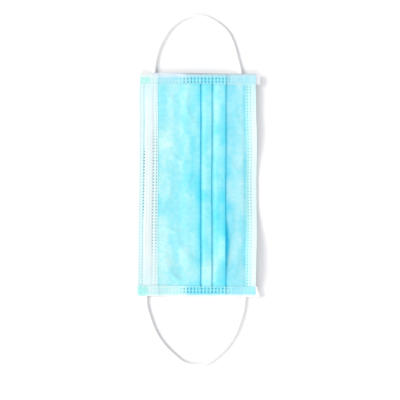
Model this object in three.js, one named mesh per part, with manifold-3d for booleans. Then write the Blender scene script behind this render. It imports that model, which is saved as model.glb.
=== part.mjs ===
// A disposable surgical face mask lying flat, outer face up, with its two ear loops laid out.
// Millimetres, +Z up. +X runs from the nose edge to the chin edge and +Y to the wearer's left end.
// The origin is on the surface below the middle of the mask.
import * as THREE from "three";
import { mergeVertices } from "three/addons/utils/BufferGeometryUtils.js";
import Module from "manifold-3d";

// Mask
const maskLength = 175; // along Y, end to end
const maskWidth = 92.5; // along X, nose edge to chin edge
const noseEdgeX = -47; // place of the nose edge
const webThickness = 1; // the laminate, the hems and the bindings
const clearance = 0.3; // air between two pieces or two layers

// Pleats: where each folded edge lies from the nose edge, and how far it goes back underneath,
// as shares of maskWidth
const pleats = [
  { edge: 0.523, depth: 0.103 },
  { edge: 0.617, depth: 0.067 },
  { edge: 0.735, depth: 0.095 },
];
const foldSegments = 4; // facets round each folded edge
const gapeLift = 1.6; // how far the third pleat stands open
const gapeCentre = -0.27; // its middle along Y, as a share of maskLength
const gapeReach = 0.13; // from its middle to where it is closed again, as a share of maskLength

// Hems
const noseHemWidth = 15;
const chinHemWidth = 8.2;
const edgeRadius = 0.8; // the web's bend over the long edges

// Nose wire and its pocket
const pocketStart = 4.6; // from the nose edge
const pocketWidth = 5.5;
const wireWidth = 4;
const wireThickness = 0.8;
const wireLength = 95;
const wireShift = -8; // it has slid along its pocket

// End bindings
const bindingWidth = 9; // how much of the mask's length it covers
const bindingLength = 94.2; // along X
const bindingShift = 0.8; // the left one sits towards the chin, the right one towards the nose
const bendSegments = 6; // facets round the mask's end

// How the sheet lies
const pressLength = 16; // the pleats flatten over this length before each binding
const endRestShare = 0.6; // the share of the half length that lies flat on the surface
const cornerLift = 2; // the chin corners curl up
const cornerReach = 11; // width of the curl along X
const cornerStart = 0.4; // where the curl begins, as a share of the half length
const longestFacet = 9; // along X, so that facets follow the curl

// Places of the sections along Y, as shares of the half length
const sectionShares = [
  -1, -0.9, -0.84, -0.78, -0.7, -0.62, -0.54, -0.42, -0.3, -0.15, 0.1, 0.35, 0.54, 0.64, 0.72, 0.78, 0.84,
  0.9, 1,
];

// Ear loops
const cordDiameter = 2.5;
const cordSides = 8;
const cordStep = 6; // along the cord
const weldLength = 8;
const weldWidth = 5;
const weldCorner = 1.5;

// Route of each ear loop's middle, seen from above, from its nose end to its chin end
const leftLoopRoute = [
  { x: -33.9, y: 87.8 },
  { x: -33.5, y: 93.5 },
  { x: -32.2, y: 100.5 },
  { x: -29.7, y: 108.6 },
  { x: -26.4, y: 115.2 },
  { x: -22.3, y: 121.4 },
  { x: -17, y: 126.9 },
  { x: -10.8, y: 130.8 },
  { x: -4.5, y: 132.6 },
  { x: 1.4, y: 132.6 },
  { x: 6.6, y: 131.5 },
  { x: 12, y: 129.1 },
  { x: 17.5, y: 125.4 },
  { x: 22.3, y: 121.1 },
  { x: 25.7, y: 115.9 },
  { x: 28.6, y: 108.6 },
  { x: 31, y: 99.7 },
  { x: 32.8, y: 92.6 },
  { x: 33.8, y: 87.8 },
];
const rightLoopRoute = [
  { x: -40.3, y: -87.8 },
  { x: -39.7, y: -95.1 },
  { x: -36.9, y: -104.8 },
  { x: -33.1, y: -114.4 },
  { x: -29.3, y: -120.9 },
  { x: -24.9, y: -126.6 },
  { x: -19.7, y: -131.7 },
  { x: -14, y: -136.6 },
  { x: -8.8, y: -139.6 },
  { x: -3, y: -140.7 },
  { x: 3, y: -140.5 },
  { x: 9, y: -138.4 },
  { x: 15.6, y: -133.4 },
  { x: 22, y: -127.4 },
  { x: 26.8, y: -120.8 },
  { x: 30.9, y: -113.1 },
  { x: 33.7, y: -105.4 },
  { x: 36, y: -97 },
  { x: 37, y: -87.8 },
];

// Worked out from the sizes above
const halfLength = maskLength / 2;
const chinEdgeX = noseEdgeX + maskWidth;
const layerPitch = webThickness + clearance;
const foldRadius = layerPitch / 2;
const foldedHeight = 3 * webThickness + 2 * clearance;
const foldReach = foldRadius + webThickness / 2;
const riseRun = Math.SQRT2 * (foldRadius + layerPitch) + foldRadius;
const firstRiseX = noseEdgeX + (pleats[0].edge - pleats[0].depth) * maskWidth + foldReach - riseRun;
const lastEdgeX = noseEdgeX + pleats.at(-1).edge * maskWidth;
const hemLevel = layerPitch + webThickness / 2;
const bindingStart = halfLength - bindingWidth;
const bodyHalfLength = halfLength - webThickness - 3 * clearance;
const endRise = 2 * layerPitch;

const white = new THREE.Color(0.93, 0.95, 0.95);
const materials = {
  blueWeb: new THREE.MeshStandardMaterial({ color: 0x9ee3ef, roughness: 0.9, metalness: 0 }),
  whiteWeb: new THREE.MeshStandardMaterial({ color: white, roughness: 0.9, metalness: 0 }),
  wire: new THREE.MeshStandardMaterial({ color: 0xe8eaea, roughness: 0.5, metalness: 0 }),
  bindingWeb: new THREE.MeshStandardMaterial({ color: 0xc4e9f2, roughness: 0.85, metalness: 0 }),
  elastic: new THREE.MeshStandardMaterial({ color: white, roughness: 0.8, metalness: 0 }),
};

const smooth = (from, to, value) => THREE.MathUtils.smoothstep(value, from, to);

// Height of the surface that the sheet's underside follows.
function baseHeight(x, y) {
  const away = Math.abs(y);
  const rise = endRise * smooth(endRestShare * halfLength, bindingStart, away);
  const alongX = smooth(chinEdgeX - cornerReach, chinEdgeX, x);
  const alongY = smooth(cornerStart * halfLength, halfLength, away);
  return rise + cornerLift * alongX * alongY;
}

// How far the layers are pressed together, from 0 in the middle to 1 under the bindings.
const pressed = (y) => smooth(bindingStart - pressLength, bindingStart, Math.abs(y));

// Height that the folded layers take at x before they are pressed.
function stackHeight(x) {
  const up = smooth(firstRiseX, firstRiseX + 2 * layerPitch, x);
  const down = smooth(lastEdgeX, lastEdgeX + 2 * layerPitch, x);
  return webThickness + (foldedHeight - webThickness) * (up - down);
}

// How far the third pleat's edge is lifted, strongest at its fold.
function gape(x, z, y) {
  const start = lastEdgeX - pleats.at(-1).depth * maskWidth;
  const alongY = 1 - smooth(0, gapeReach * maskLength, Math.abs(y - gapeCentre * maskLength));
  const upper = smooth(webThickness, webThickness + layerPitch, z);
  return x > lastEdgeX + clearance ? 0 : gapeLift * alongY * upper * smooth(start, lastEdgeX, x);
}

// Places a point of the body's flat section in the lying mask.
function placeBody(x, z, y) {
  const squeeze = 1 - pressed(y) * (1 - webThickness / stackHeight(x));
  return new THREE.Vector3(x, y, baseHeight(x, y) + z * squeeze + gape(x, z, y));
}

// Places a point of a piece that isn't folded.
const placeFlat = (x, z, y) => new THREE.Vector3(x, y, baseHeight(x, y) + z);

// Adds points to long straight stretches of a path.
function subdivide(path) {
  const points = [path[0]];
  for (let i = 1; i < path.length; i++) {
    const steps = Math.ceil(path[i].distanceTo(path[i - 1]) / longestFacet);
    for (let k = 1; k <= steps; k++) points.push(path[i - 1].clone().lerp(path[i], k / steps));
  }
  return points;
}

// The two sides of a wall along a path: first the one to the left of its direction.
function wallSides(path, thickness) {
  const normals = path.map((point, i) => {
    const before = i ? point.clone().sub(path[i - 1]).normalize() : null;
    const after = i < path.length - 1 ? path[i + 1].clone().sub(point).normalize() : null;
    const a = before ?? after;
    const b = after ?? before;
    const normal = new THREE.Vector2(-a.y - b.y, a.x + b.x).normalize();
    return normal.divideScalar(normal.dot(new THREE.Vector2(-a.y, a.x)));
  });
  const side = (distance) => path.map((point, i) => point.clone().addScaledVector(normals[i], distance));
  return [side(thickness / 2), side(-thickness / 2)];
}

// A closed solid from equal rings of points. Each ring runs along one side of a wall and back
// along the other, so its cap is a strip between the two sides.
function loftRings(rings) {
  const count = rings[0].length;
  const positions = rings.flat().flatMap((point) => [point.x, point.y, point.z]);
  const triangles = [];
  const quad = (a, b, c, d) => triangles.push(a, b, c, a, c, d);
  for (let r = 0; r + 1 < rings.length; r++) {
    for (let i = 0; i < count; i++) {
      const next = (i + 1) % count;
      const here = r * count;
      quad(here + i, here + next, here + count + next, here + count + i);
    }
  }
  const last = (rings.length - 1) * count;
  for (let i = 0; i + 1 < count / 2; i++) {
    quad(count - 1 - i, count - 2 - i, i + 1, i);
    quad(last + i, last + i + 1, last + count - 2 - i, last + count - 1 - i);
  }
  if (signedVolume(positions, triangles) < 0) triangles.reverse();
  const geometry = new THREE.BufferGeometry();
  geometry.setAttribute("position", new THREE.Float32BufferAttribute(positions, 3));
  geometry.setIndex(triangles);
  return geometry;
}

function signedVolume(positions, triangles) {
  const corner = (i) => new THREE.Vector3().fromArray(positions, 3 * triangles[i]);
  let sum = 0;
  for (let i = 0; i < triangles.length; i += 3) {
    sum += corner(i).dot(corner(i + 1).cross(corner(i + 2)));
  }
  return sum / 6;
}

// A web with the given path in its cross section, lofted through the places along Y.
function web(path, places, place) {
  const [left, right] = wallSides(subdivide(path), webThickness);
  const outline = [...left, ...right.reverse()];
  return loftRings(places.map((y) => outline.map((point) => place(point.x, point.y, y))));
}

const arc = (x, z, radius, from, to, segments) =>
  Array.from({ length: segments + 1 }, (_, k) => {
    const angle = THREE.MathUtils.degToRad(from + ((to - from) * k) / segments);
    return new THREE.Vector2(x + radius * Math.cos(angle), z + radius * Math.sin(angle));
  });

// The pleated laminate's cross section: along the bottom, up onto each pleat, round its folded
// edge, back underneath, round the hidden fold and on along the bottom.
function pleatedPath() {
  const bottom = webThickness / 2;
  const top = bottom + 2 * layerPitch;
  const inset = webThickness + clearance;
  const path = [new THREE.Vector2(noseEdgeX + inset, bottom)];
  for (const pleat of pleats) {
    const edgeX = noseEdgeX + pleat.edge * maskWidth;
    const hiddenX = edgeX - pleat.depth * maskWidth + foldReach;
    const riseX = hiddenX - riseRun;
    path.push(new THREE.Vector2(riseX, bottom), new THREE.Vector2(riseX + top - bottom, top));
    path.push(...arc(edgeX - foldReach, top - foldRadius, foldRadius, 90, -90, foldSegments));
    path.push(...arc(hiddenX, bottom + foldRadius, foldRadius, 90, 270, foldSegments));
  }
  path.push(new THREE.Vector2(chinEdgeX - inset, bottom));
  return path;
}

const wasm = await Module();
wasm.setup();

function solidOf(geometry) {
  const bare = mergeVertices(geometry, 1e-4);
  const vertProperties = bare.getAttribute("position").array;
  const triVerts = new Uint32Array(bare.index.array);
  return new wasm.Manifold(new wasm.Mesh({ numProp: 3, vertProperties, triVerts }));
}

function geometryOf(solid) {
  const mesh = solid.getMesh();
  const geometry = new THREE.BufferGeometry();
  geometry.setAttribute("position", new THREE.BufferAttribute(mesh.vertProperties, 3));
  geometry.setIndex(new THREE.BufferAttribute(mesh.triVerts, 1));
  return geometry;
}

// The pleated body. Under each binding its layers are welded together.
function bodyGeometry() {
  const places = sectionShares.map((share) => share * bodyHalfLength);
  let solid = solidOf(web(pleatedPath(), places, placeBody));
  const skin = 0.05 * webThickness;
  const weldStartX = firstRiseX + layerPitch;
  const weldEndX = lastEdgeX - clearance;
  for (const end of [-1, 1]) {
    const rings = [bindingStart + clearance, bodyHalfLength - clearance].map((away) => {
      const y = end * away;
      const height = webThickness - skin;
      return [
        placeFlat(weldStartX, height, y),
        placeFlat(weldEndX, height, y),
        placeFlat(weldEndX, skin, y),
        placeFlat(weldStartX, skin, y),
      ];
    });
    solid = solid.add(solidOf(loftRings(rings)));
  }
  return geometryOf(solid);
}

// A hem: the inner web comes up over a long edge and lies on the front. side is -1 at the nose
// edge and 1 at the chin edge, and bump raises it over what its pocket holds.
function hemGeometry(edgeX, side, width, bump) {
  const lipX = edgeX - (side * webThickness) / 2;
  const bend = arc(0, hemLevel - edgeRadius, edgeRadius, 0, 90, foldSegments);
  const path = [new THREE.Vector2(lipX, 0)];
  for (const point of bend) path.push(new THREE.Vector2(lipX + side * (point.x - edgeRadius), point.y));
  for (const point of bump) path.push(new THREE.Vector2(edgeX - side * point.from, hemLevel + point.up));
  path.push(new THREE.Vector2(edgeX - side * width, hemLevel));
  const places = sectionShares.map((share) => share * bodyHalfLength);
  const place = (x, z, y) => {
    const onFlap = z > layerPitch;
    const raised = onFlap ? z - bumpAt(bump, side * (edgeX - x)) * pressed(y) : z;
    return placeFlat(x, raised, y);
  };
  return web(path, places, place);
}

// Height of a hem's bump at a distance from the long edge.
function bumpAt(bump, distance) {
  for (let i = 1; i < bump.length; i++) {
    const a = bump[i - 1];
    const b = bump[i];
    if (distance >= a.from && distance <= b.from) {
      return THREE.MathUtils.mapLinear(distance, a.from, b.from, a.up, b.up);
    }
  }
  return 0;
}

// The nose hem's pocket, by distance from the nose edge.
const pocketHeight = wireThickness + clearance;
const pocketBump = [
  { from: pocketStart - pocketHeight / 2, up: 0 },
  { from: pocketStart + pocketHeight / 2, up: pocketHeight },
  { from: pocketStart + pocketWidth - pocketHeight / 2, up: pocketHeight },
  { from: pocketStart + pocketWidth + pocketHeight / 2, up: 0 },
];

function wireGeometry() {
  const centreX = noseEdgeX + pocketStart + pocketWidth / 2;
  const low = layerPitch;
  const round = wireThickness / 2;
  const half = wireWidth / 2;
  const ends = [wireShift - wireLength / 2, wireShift + wireLength / 2];
  const inner = sectionShares.map((share) => share * halfLength);
  const places = [ends[0], ...inner.filter((y) => y > ends[0] + 1 && y < ends[1] - 1), ends[1]];
  const outline = [
    { x: -half, z: low + round + round / 2 },
    { x: -half + round, z: low + wireThickness },
    { x: half - round, z: low + wireThickness },
    { x: half, z: low + round + round / 2 },
    { x: half, z: low + round / 2 },
    { x: half - round, z: low },
    { x: -half + round, z: low },
    { x: -half, z: low + round / 2 },
  ];
  return loftRings(places.map((y) => outline.map((point) => placeFlat(centreX + point.x, point.z, y))));
}

// Top of what a binding covers, above the sheet's underside: its sections along X, which step down
// just past each hem's raw edge.
function coveredSections(startX, endX) {
  const overHem = 2 * webThickness + clearance;
  const step = 2 * layerPitch;
  const noseHemEnd = noseEdgeX + noseHemWidth + 2 * clearance;
  const chinHemEnd = chinEdgeX - chinHemWidth - 2 * clearance;
  return subdivide([
    new THREE.Vector2(startX, overHem),
    new THREE.Vector2(noseHemEnd, overHem),
    new THREE.Vector2(noseHemEnd + step, webThickness),
    new THREE.Vector2(chinHemEnd - step, webThickness),
    new THREE.Vector2(chinHemEnd, overHem),
    new THREE.Vector2(endX, overHem),
  ]);
}

// A binding: a strip folded round the mask's end, lofted along X.
function bindingGeometry(end) {
  const middleX = end * bindingShift;
  const bendReach = 2 * foldRadius;
  const rings = coveredSections(middleX - bindingLength / 2, middleX + bindingLength / 2).map((section) => {
    const low = -clearance - webThickness / 2;
    const high = section.y + clearance + webThickness / 2;
    const path = [new THREE.Vector2(bindingStart, low)];
    for (const point of arc(0, 0, 1, -90, 90, bendSegments)) {
      const away = halfLength - webThickness / 2 - bendReach * (1 - point.x);
      path.push(new THREE.Vector2(away, (low + high) / 2 + ((high - low) / 2) * point.y));
    }
    path.push(new THREE.Vector2(bindingStart, high));
    const [left, right] = wallSides(path, webThickness);
    return [...left, ...right.reverse()].map((point) => placeFlat(section.x, point.y, end * point.x));
  });
  return loftRings(rings);
}

// An ear loop's free stretch: a round cord lying on the surface.
function loopGeometry(route) {
  const radius = cordDiameter / 2;
  const curve = new THREE.CatmullRomCurve3(
    route.map((point) => new THREE.Vector3(point.x, point.y, radius)),
  );
  const section = new THREE.Shape();
  for (let i = 0; i < cordSides; i++) {
    const angle = ((i + 0.5) / cordSides) * 2 * Math.PI;
    const place = [radius * Math.cos(angle), radius * Math.sin(angle)];
    if (i) section.lineTo(...place);
    else section.moveTo(...place);
  }
  const steps = Math.round(curve.getLength() / cordStep);
  const options = { steps, extrudePath: curve, bevelEnabled: false };
  return new THREE.ExtrudeGeometry(section, options);
}

// The flattened end of the elastic, welded to the inner face below a binding.
function weldGeometry() {
  const w = weldWidth / 2 - weldCorner;
  const l = weldLength / 2 - weldCorner;
  const outline = new THREE.Shape();
  outline.absarc(w, l, weldCorner, 0, Math.PI / 2);
  outline.absarc(-w, l, weldCorner, Math.PI / 2, Math.PI);
  outline.absarc(-w, -l, weldCorner, Math.PI, 1.5 * Math.PI);
  outline.absarc(w, -l, weldCorner, 1.5 * Math.PI, 2 * Math.PI);
  return new THREE.ExtrudeGeometry(outline, { depth: webThickness, bevelEnabled: false, curveSegments: 3 });
}

const mask = new THREE.Group();

function addPiece(name, geometry, material) {
  const mesh = new THREE.Mesh(geometry, material);
  mesh.name = name;
  mask.add(mesh);
  return mesh;
}

addPiece("pleated_body", bodyGeometry(), materials.blueWeb);
addPiece("nose_hem", hemGeometry(noseEdgeX, -1, noseHemWidth, pocketBump), materials.whiteWeb);
addPiece("chin_hem", hemGeometry(chinEdgeX, 1, chinHemWidth, []), materials.whiteWeb);
addPiece("nose_wire", wireGeometry(), materials.wire);

const ends = [
  { name: "left", direction: 1, route: leftLoopRoute },
  { name: "right", direction: -1, route: rightLoopRoute },
];
for (const { name, direction, route } of ends) {
  addPiece(name + "_end_binding", bindingGeometry(direction), materials.bindingWeb);
  addPiece(name + "_ear_loop", loopGeometry(route), materials.elastic);
  const weldY = direction * (halfLength - weldLength / 2);
  addPiece(name + "_nose_weld", weldGeometry(), materials.elastic).position.set(route[0].x, weldY, 0);
  addPiece(name + "_chin_weld", weldGeometry(), materials.elastic).position.set(route.at(-1).x, weldY, 0);
}

export default mask;
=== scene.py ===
"""The looks of a flat, pleated, disposable face mask with its ear loops laid out on a pale floor.

Lengths are millimetres in this script, and metres in Blender. +X runs from the nose edge to the
chin edge, +Y to the wearer's left end, and the outer face looks up.
"""

import math

import bpy
import numpy as np
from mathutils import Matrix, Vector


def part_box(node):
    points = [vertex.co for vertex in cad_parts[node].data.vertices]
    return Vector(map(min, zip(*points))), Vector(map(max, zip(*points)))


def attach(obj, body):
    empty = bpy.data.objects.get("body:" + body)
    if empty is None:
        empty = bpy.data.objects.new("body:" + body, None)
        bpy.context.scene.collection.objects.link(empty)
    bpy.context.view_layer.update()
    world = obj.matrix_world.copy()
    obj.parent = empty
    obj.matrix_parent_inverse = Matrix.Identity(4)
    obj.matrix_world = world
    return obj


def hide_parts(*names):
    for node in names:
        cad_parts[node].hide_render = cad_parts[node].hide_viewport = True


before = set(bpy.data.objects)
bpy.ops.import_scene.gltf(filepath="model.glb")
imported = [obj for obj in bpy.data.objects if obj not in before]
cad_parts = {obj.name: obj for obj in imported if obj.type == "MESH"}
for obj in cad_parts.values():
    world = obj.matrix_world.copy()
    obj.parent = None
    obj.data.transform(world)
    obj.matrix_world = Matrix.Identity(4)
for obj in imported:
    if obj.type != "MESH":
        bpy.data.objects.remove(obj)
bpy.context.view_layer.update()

MM = 0.001
SIDES = {"left": 1, "right": -1}


def node_box(node):
    """Lowest and highest corner of a node of the frame, in millimetres."""
    low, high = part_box(node)
    return np.array(low) / MM, np.array(high) / MM


# Places taken from the frame
nose_low, nose_high = node_box("nose_hem")
chin_low, chin_high = node_box("chin_hem")
wire_low, wire_high = node_box("nose_wire")
binding_low, binding_high = node_box("left_end_binding")
NOSE_EDGE = nose_low[0]
NOSE_HEM_END = nose_high[0]
CHIN_HEM_END = chin_low[0]
CHIN_EDGE = chin_high[0]
SHEET_HALF = nose_high[1]
HALF = binding_high[1]
BINDING_START = binding_low[1]

# The webs
WEB = 0.22
PLY_GAP = 0.06
PLY = (WEB + PLY_GAP) / 2
LAMINATE = 2 * WEB + PLY_GAP
COVER_INSET = 1.0
COVER_UNDER_CHIN_HEM = 4.2

# Pleats: distance of the folded edge from the nose edge, length of the rise before it, and how
# far the top layer runs past the hidden fold
PLEATS = [(48.25, 7.5, 8.0), (57.1, 3.0, 3.6), (68.0, 3.4, 5.0)]
# Height from one layer of a pleat to the next: in the open, and pressed towards the bindings
PITCH_OPEN = 0.54
PITCH_PRESSED = 0.52
PRESS_LENGTH = 16
# Room between the end of a rise and the hidden fold
FOLD_ROOM = 0.25
# The place along Y round which the third pleat stands open
GAPE_LIFT = 1.9
GAPE_CENTRE = -46.8
GAPE_REACH = 25

# In all tables here a span is a start and an end, counted from a line where one is named, and a
# stretch has a third number, how soft its two ends are.

# Nose pocket, by distance from the nose edge, and the slopes round it
POCKET = {"start": 4.6, "width": 6.2, "over_wire": 0.34, "empty": 0.18}
POCKET_RISE_SPAN = (-0.5, 1.2)
POCKET_FALL_SPAN = (-1.4, 0.8)
WIRE_START_SPAN = (-4, 1)
WIRE_END_SPAN = (-1, 4)
POCKET_PRESSED = 0.8

# Spot welds
HEM_WELD_PITCH = 2.4
HEM_WELD_ROWS = [-45.5, -43.0, -35.6, -33.1, 38.8, 41.2]
END_WELD_PITCH = 2.74
END_WELD_ROWS = [80.8, 83.4]
WELD_RADIUS = 0.62
END_WELD_RADIUS = 0.85
WELD_PRESS = 0.6
# A binding's welds are deep in this stretch along X, and have this share of their depth beyond it
END_WELD_STRETCH = (-13, 27, 2)
END_WELD_SHALLOW = 0.25

# How the sheet lies
END_RISE = {"left": 3.3, "right": 2.5}
# How much less the ends rise between the two ends of a loop, as a share
END_SAG = {"left": 0, "right": 0.5}
SAG_STRETCH = (-28, 22, 6)
SAG_LENGTH = 12
REST_SHARE = 0.6
CHIN_CREASE = 36.2
# How far the chin edge stands up beyond the crease: everywhere, and where along Y it starts to
# rise more, where it is highest, and how much higher
CHIN_LIFT = 1.2
CHIN_LIFTS = [(6, 46, 4.8), (-14, -54, 7.0)]
# Past its highest place the lift falls over a length, by a share of it
CHIN_LIFT_FALL = 34
CHIN_LIFT_LOST = 0.75
CHIN_LIFT_END = 10
CHIN_CURL_SLOPE = 0.15
# The nose hem's raw edge runs at a slant, and the chin edge bows in towards its two ends
NOSE_SLANT = 0.009
NOSE_SLANT_SPAN = (-3, 1)
CHIN_BOW = {"in": 0.8, "along": (20, 75), "span": (-8, 0)}
# The panel before the crease swells, and drops into it
SWELL = {"height": 0.34, "start": 24.0, "top": 34.2, "foot": 36.4, "end": 12}
# Waves and crumples of the sheet: size of a cell, height and seed
WAVES = [(27, 0.42, 3), (11, 0.3, 8), (5.5, 0.15, 21)]
# The share of the waves that is lost at the nose edge, the chin edge and the bindings, and how far
# past or before these lines it changes
CALM = {"nose": 0.65, "past_nose": 8, "chin": 0.7, "before_chin": 6, "end": 0.75, "before_end": 6}
# Sideways wander of the folds and edges: size of a cell, width and seed
WANDERS = [(33, 0.5, 12), (13, 0.24, 14)]
# Creases: x and y of the middle, direction in degrees from +X, half length, half width, height
CREASES = [
    (-14, -50, -62, 18, 3.2, 0.8),
    (-20, -36, -15, 9, 1.8, 0.7),
    (-17, -73, -38, 8, 1.6, 0.9),
    (-26, -60, -75, 11, 2.4, 0.5),
    (-22, 68, -55, 9, 1.9, 0.5),
    (-10, 62, -82, 18, 1.8, 0.6),
    (-17, 20, -30, 9, 2.0, 0.5),
    (-7, 5, 65, 9, 1.8, 0.5),
    (-24, -10, 70, 12, 2.2, 0.5),
    (27, 14, -50, 8, 1.6, 0.45),
    (29, 54, -75, 13, 1.7, 0.45),
    (30, -62, 75, 12, 1.8, 0.5),
    (26, -30, 85, 15, 2.0, 0.4),
]
CREASE_BEND = 0.02
CREASE_FADE = 1.6
# The crumpled corner at the nose end of the right binding
CRUMPLE = {"x": -44, "y": -81.5, "reach": 5.5, "up": 0.7, "cell": 2.2, "seed": 5}

ROW_STEP = HEM_WELD_PITCH / 3
ROWS = np.arange(-round(SHEET_HALF / ROW_STEP), round(SHEET_HALF / ROW_STEP) + 1) * ROW_STEP

# Ear loops
CORD = 2.5
CORD_ROUND = 28
CORD_RING_STEP = 0.36
CORD_FLAT_LENGTH = 3.2
CORD_SHIFT = -0.8
FLAT_HEIGHT = 1.1
FLAT_WIDTH = 3.9
LEFT_LOOP_ROUTE = [
    (-33.9, 87.8), (-33.5, 93.5), (-32.2, 100.5), (-29.7, 108.6), (-26.4, 115.2), (-22.3, 121.4),
    (-17, 126.9), (-10.8, 130.8), (-4.5, 132.6), (1.4, 132.6), (6.6, 131.5), (12, 129.1),
    (17.5, 125.4), (22.3, 121.1), (25.7, 115.9), (28.6, 108.6), (31, 99.7), (32.8, 92.6),
    (33.8, 87.8),
]
RIGHT_LOOP_ROUTE = [
    (-40.3, -87.8), (-39.7, -95.1), (-36.9, -104.8), (-33.1, -114.4), (-29.3, -120.9),
    (-24.9, -126.6), (-19.7, -131.7), (-14, -136.6), (-8.8, -139.6), (-3, -140.7), (3, -140.5),
    (9, -138.4), (15.6, -133.4), (22, -127.4), (26.8, -120.8), (30.9, -113.1), (33.7, -105.4),
    (36, -97), (37, -87.8),
]
ROUTES = {"left": LEFT_LOOP_ROUTE, "right": RIGHT_LOOP_ROUTE}

# The camera looks straight down. The photograph's middle is this point of the mask.
VIEW_X = 0.98
VIEW_Y = -11.6
VIEW_WIDTH = 312.5
LENS = 135
SENSOR = 36


def smooth(start, end, value):
    """Goes smoothly from 0 at start to 1 at end."""
    t = np.clip((value - start) / (end - start), 0, 1)
    return t * t * (3 - 2 * t)


def smooth_from(line, span, value):
    """Goes smoothly from 0 to 1 over a span that is counted from a line."""
    return smooth(line + span[0], line + span[1], value)


def bump(value, start, end, soft):
    """1 between start and end, and 0 outside, with soft edges."""
    return smooth(start - soft, start + soft, value) * (1 - smooth(end - soft, end + soft, value))


def bump_from(line, stretch, value):
    """1 in a stretch that is counted from a line, and 0 outside, with soft edges."""
    return bump(value, line + stretch[0], line + stretch[1], stretch[2])


def towards_binding(y, length):
    """Goes smoothly from 0 to 1 over a length before the bindings, and stays 1 below them."""
    return smooth(BINDING_START - length, BINDING_START, np.abs(y))


NOISE_SIZE = 64


def noise(x, y, cell, seed):
    """Smooth seeded noise from 0 to 1, with cells of the given size."""
    grid = np.random.default_rng(seed).uniform(0, 1, (NOISE_SIZE, NOISE_SIZE))
    u = x / cell + NOISE_SIZE / 2
    v = y / cell + NOISE_SIZE / 2
    i = np.floor(u).astype(int)
    j = np.floor(v).astype(int)
    s = smooth(0, 1, u - i)
    t = smooth(0, 1, v - j)
    corner = lambda a, b: grid[(i + a) % NOISE_SIZE, (j + b) % NOISE_SIZE]
    low = corner(0, 0) * (1 - s) + corner(1, 0) * s
    high = corner(0, 1) * (1 - s) + corner(1, 1) * s
    return low * (1 - t) + high * t


def crease_height(x, y):
    """Soft ridges of a sheet that has been folded into a packet."""
    height = np.zeros(np.broadcast(x, y).shape)
    for middle_x, middle_y, degrees, half, wide, up in CREASES:
        turn = math.radians(degrees)
        along = (x - middle_x) * math.cos(turn) + (y - middle_y) * math.sin(turn)
        across = (y - middle_y) * math.cos(turn) - (x - middle_x) * math.sin(turn)
        bend = CREASE_BEND * along**2
        fade = np.exp(-((along / half) ** 2) * CREASE_FADE)
        height += up * fade * np.exp(-(((across - bend) / wide) ** 2))
    return height


def base_height(x, y):
    """Height of the surface that the underside of every web follows."""
    away = np.abs(y)
    rise = np.where(y > 0, END_RISE["left"], END_RISE["right"])
    rise = rise * smooth(REST_SHARE * HALF, BINDING_START, away)
    sag = np.where(y > 0, END_SAG["left"], END_SAG["right"]) * bump(x, *SAG_STRETCH)
    rise = rise * (1 - sag * smooth(BINDING_START - SAG_LENGTH, HALF, away))
    lift = CHIN_LIFT * (1 - towards_binding(y, CHIN_LIFT_END))
    for start, end, up in CHIN_LIFTS:
        out = (y - start) / (end - start)
        fall = abs((y - end) / CHIN_LIFT_FALL) * (out > 1)
        lift = lift + up * smooth(0, 1, out) * (1 - CHIN_LIFT_LOST * smooth(0, 1, fall))
    out = np.clip((x - CHIN_CREASE) / (CHIN_EDGE - CHIN_CREASE), 0, None)
    curl = lift * (out**2 + CHIN_CURL_SLOPE * out) / np.sqrt(1 + out**2)
    swell = smooth(SWELL["start"], SWELL["top"], x) * (1 - smooth(SWELL["top"], SWELL["foot"], x))
    swell = SWELL["height"] * swell * (1 - towards_binding(y, SWELL["end"]))
    calm = smooth(NOSE_EDGE, NOSE_HEM_END + CALM["past_nose"], x)
    calm = calm * (1 - CALM["chin"] * smooth(CHIN_HEM_END - CALM["before_chin"], CHIN_EDGE, x))
    calm = 1 - CALM["nose"] + CALM["nose"] * calm
    calm = calm * (1 - CALM["end"] * towards_binding(y, CALM["before_end"]))
    waves = sum(height * noise(x, y, cell, seed) for cell, height, seed in WAVES)
    fold = CRUMPLE["up"] * noise(x, y, CRUMPLE["cell"], CRUMPLE["seed"])
    far = np.hypot(x - CRUMPLE["x"], y - CRUMPLE["y"])
    crumple = fold * (1 - smooth(0, CRUMPLE["reach"], far))
    return rise + curl + swell + calm * (waves + crease_height(x, y)) + crumple


def side_drift(x, y):
    """How far the folds and edges lie to one side of straight lines."""
    wander = sum(width * (noise(x, y, cell, seed) - 0.5) for cell, width, seed in WANDERS)
    slant = NOSE_SLANT * y * (1 - smooth_from(NOSE_HEM_END, NOSE_SLANT_SPAN, x))
    bow = CHIN_BOW["in"] * smooth(*CHIN_BOW["along"], np.abs(y))
    bow = bow * smooth_from(CHIN_HEM_END, CHIN_BOW["span"], x)
    return wander + slant - bow


def dents(across, along, rows, pitch, radius):
    """From 0 to 1 in the middle of each dot of some rows."""
    off = (along + pitch / 2) % pitch - pitch / 2
    return sum(np.exp(-((across - row) ** 2 + off**2) / radius**2) for row in rows)


def weld_depth(x, y):
    """From 0 to 1 in the middle of each spot weld."""
    away = np.abs(y)
    hem = dents(x, y, HEM_WELD_ROWS, HEM_WELD_PITCH, WELD_RADIUS) * (away < BINDING_START)
    end = dents(away, x, END_WELD_ROWS, END_WELD_PITCH, END_WELD_RADIUS)
    end = end * (END_WELD_SHALLOW + (1 - END_WELD_SHALLOW) * bump(x, *END_WELD_STRETCH))
    return np.clip(hem + end, 0, 1)


def place(x, z, y):
    """Puts points of the webs' flat section in the lying mask, in millimetres."""
    squeeze = 1 - WELD_PRESS * weld_depth(x, y)
    height = base_height(x, y) + z * squeeze
    return np.stack([x + side_drift(x, y), np.broadcast_to(y, x.shape), height], axis=-1)


def straight(a, b, count):
    """Points from a up to, but not including, b."""
    t = np.arange(count)[:, None] / count
    return np.array(a) + t * (np.array(b) - np.array(a))


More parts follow.
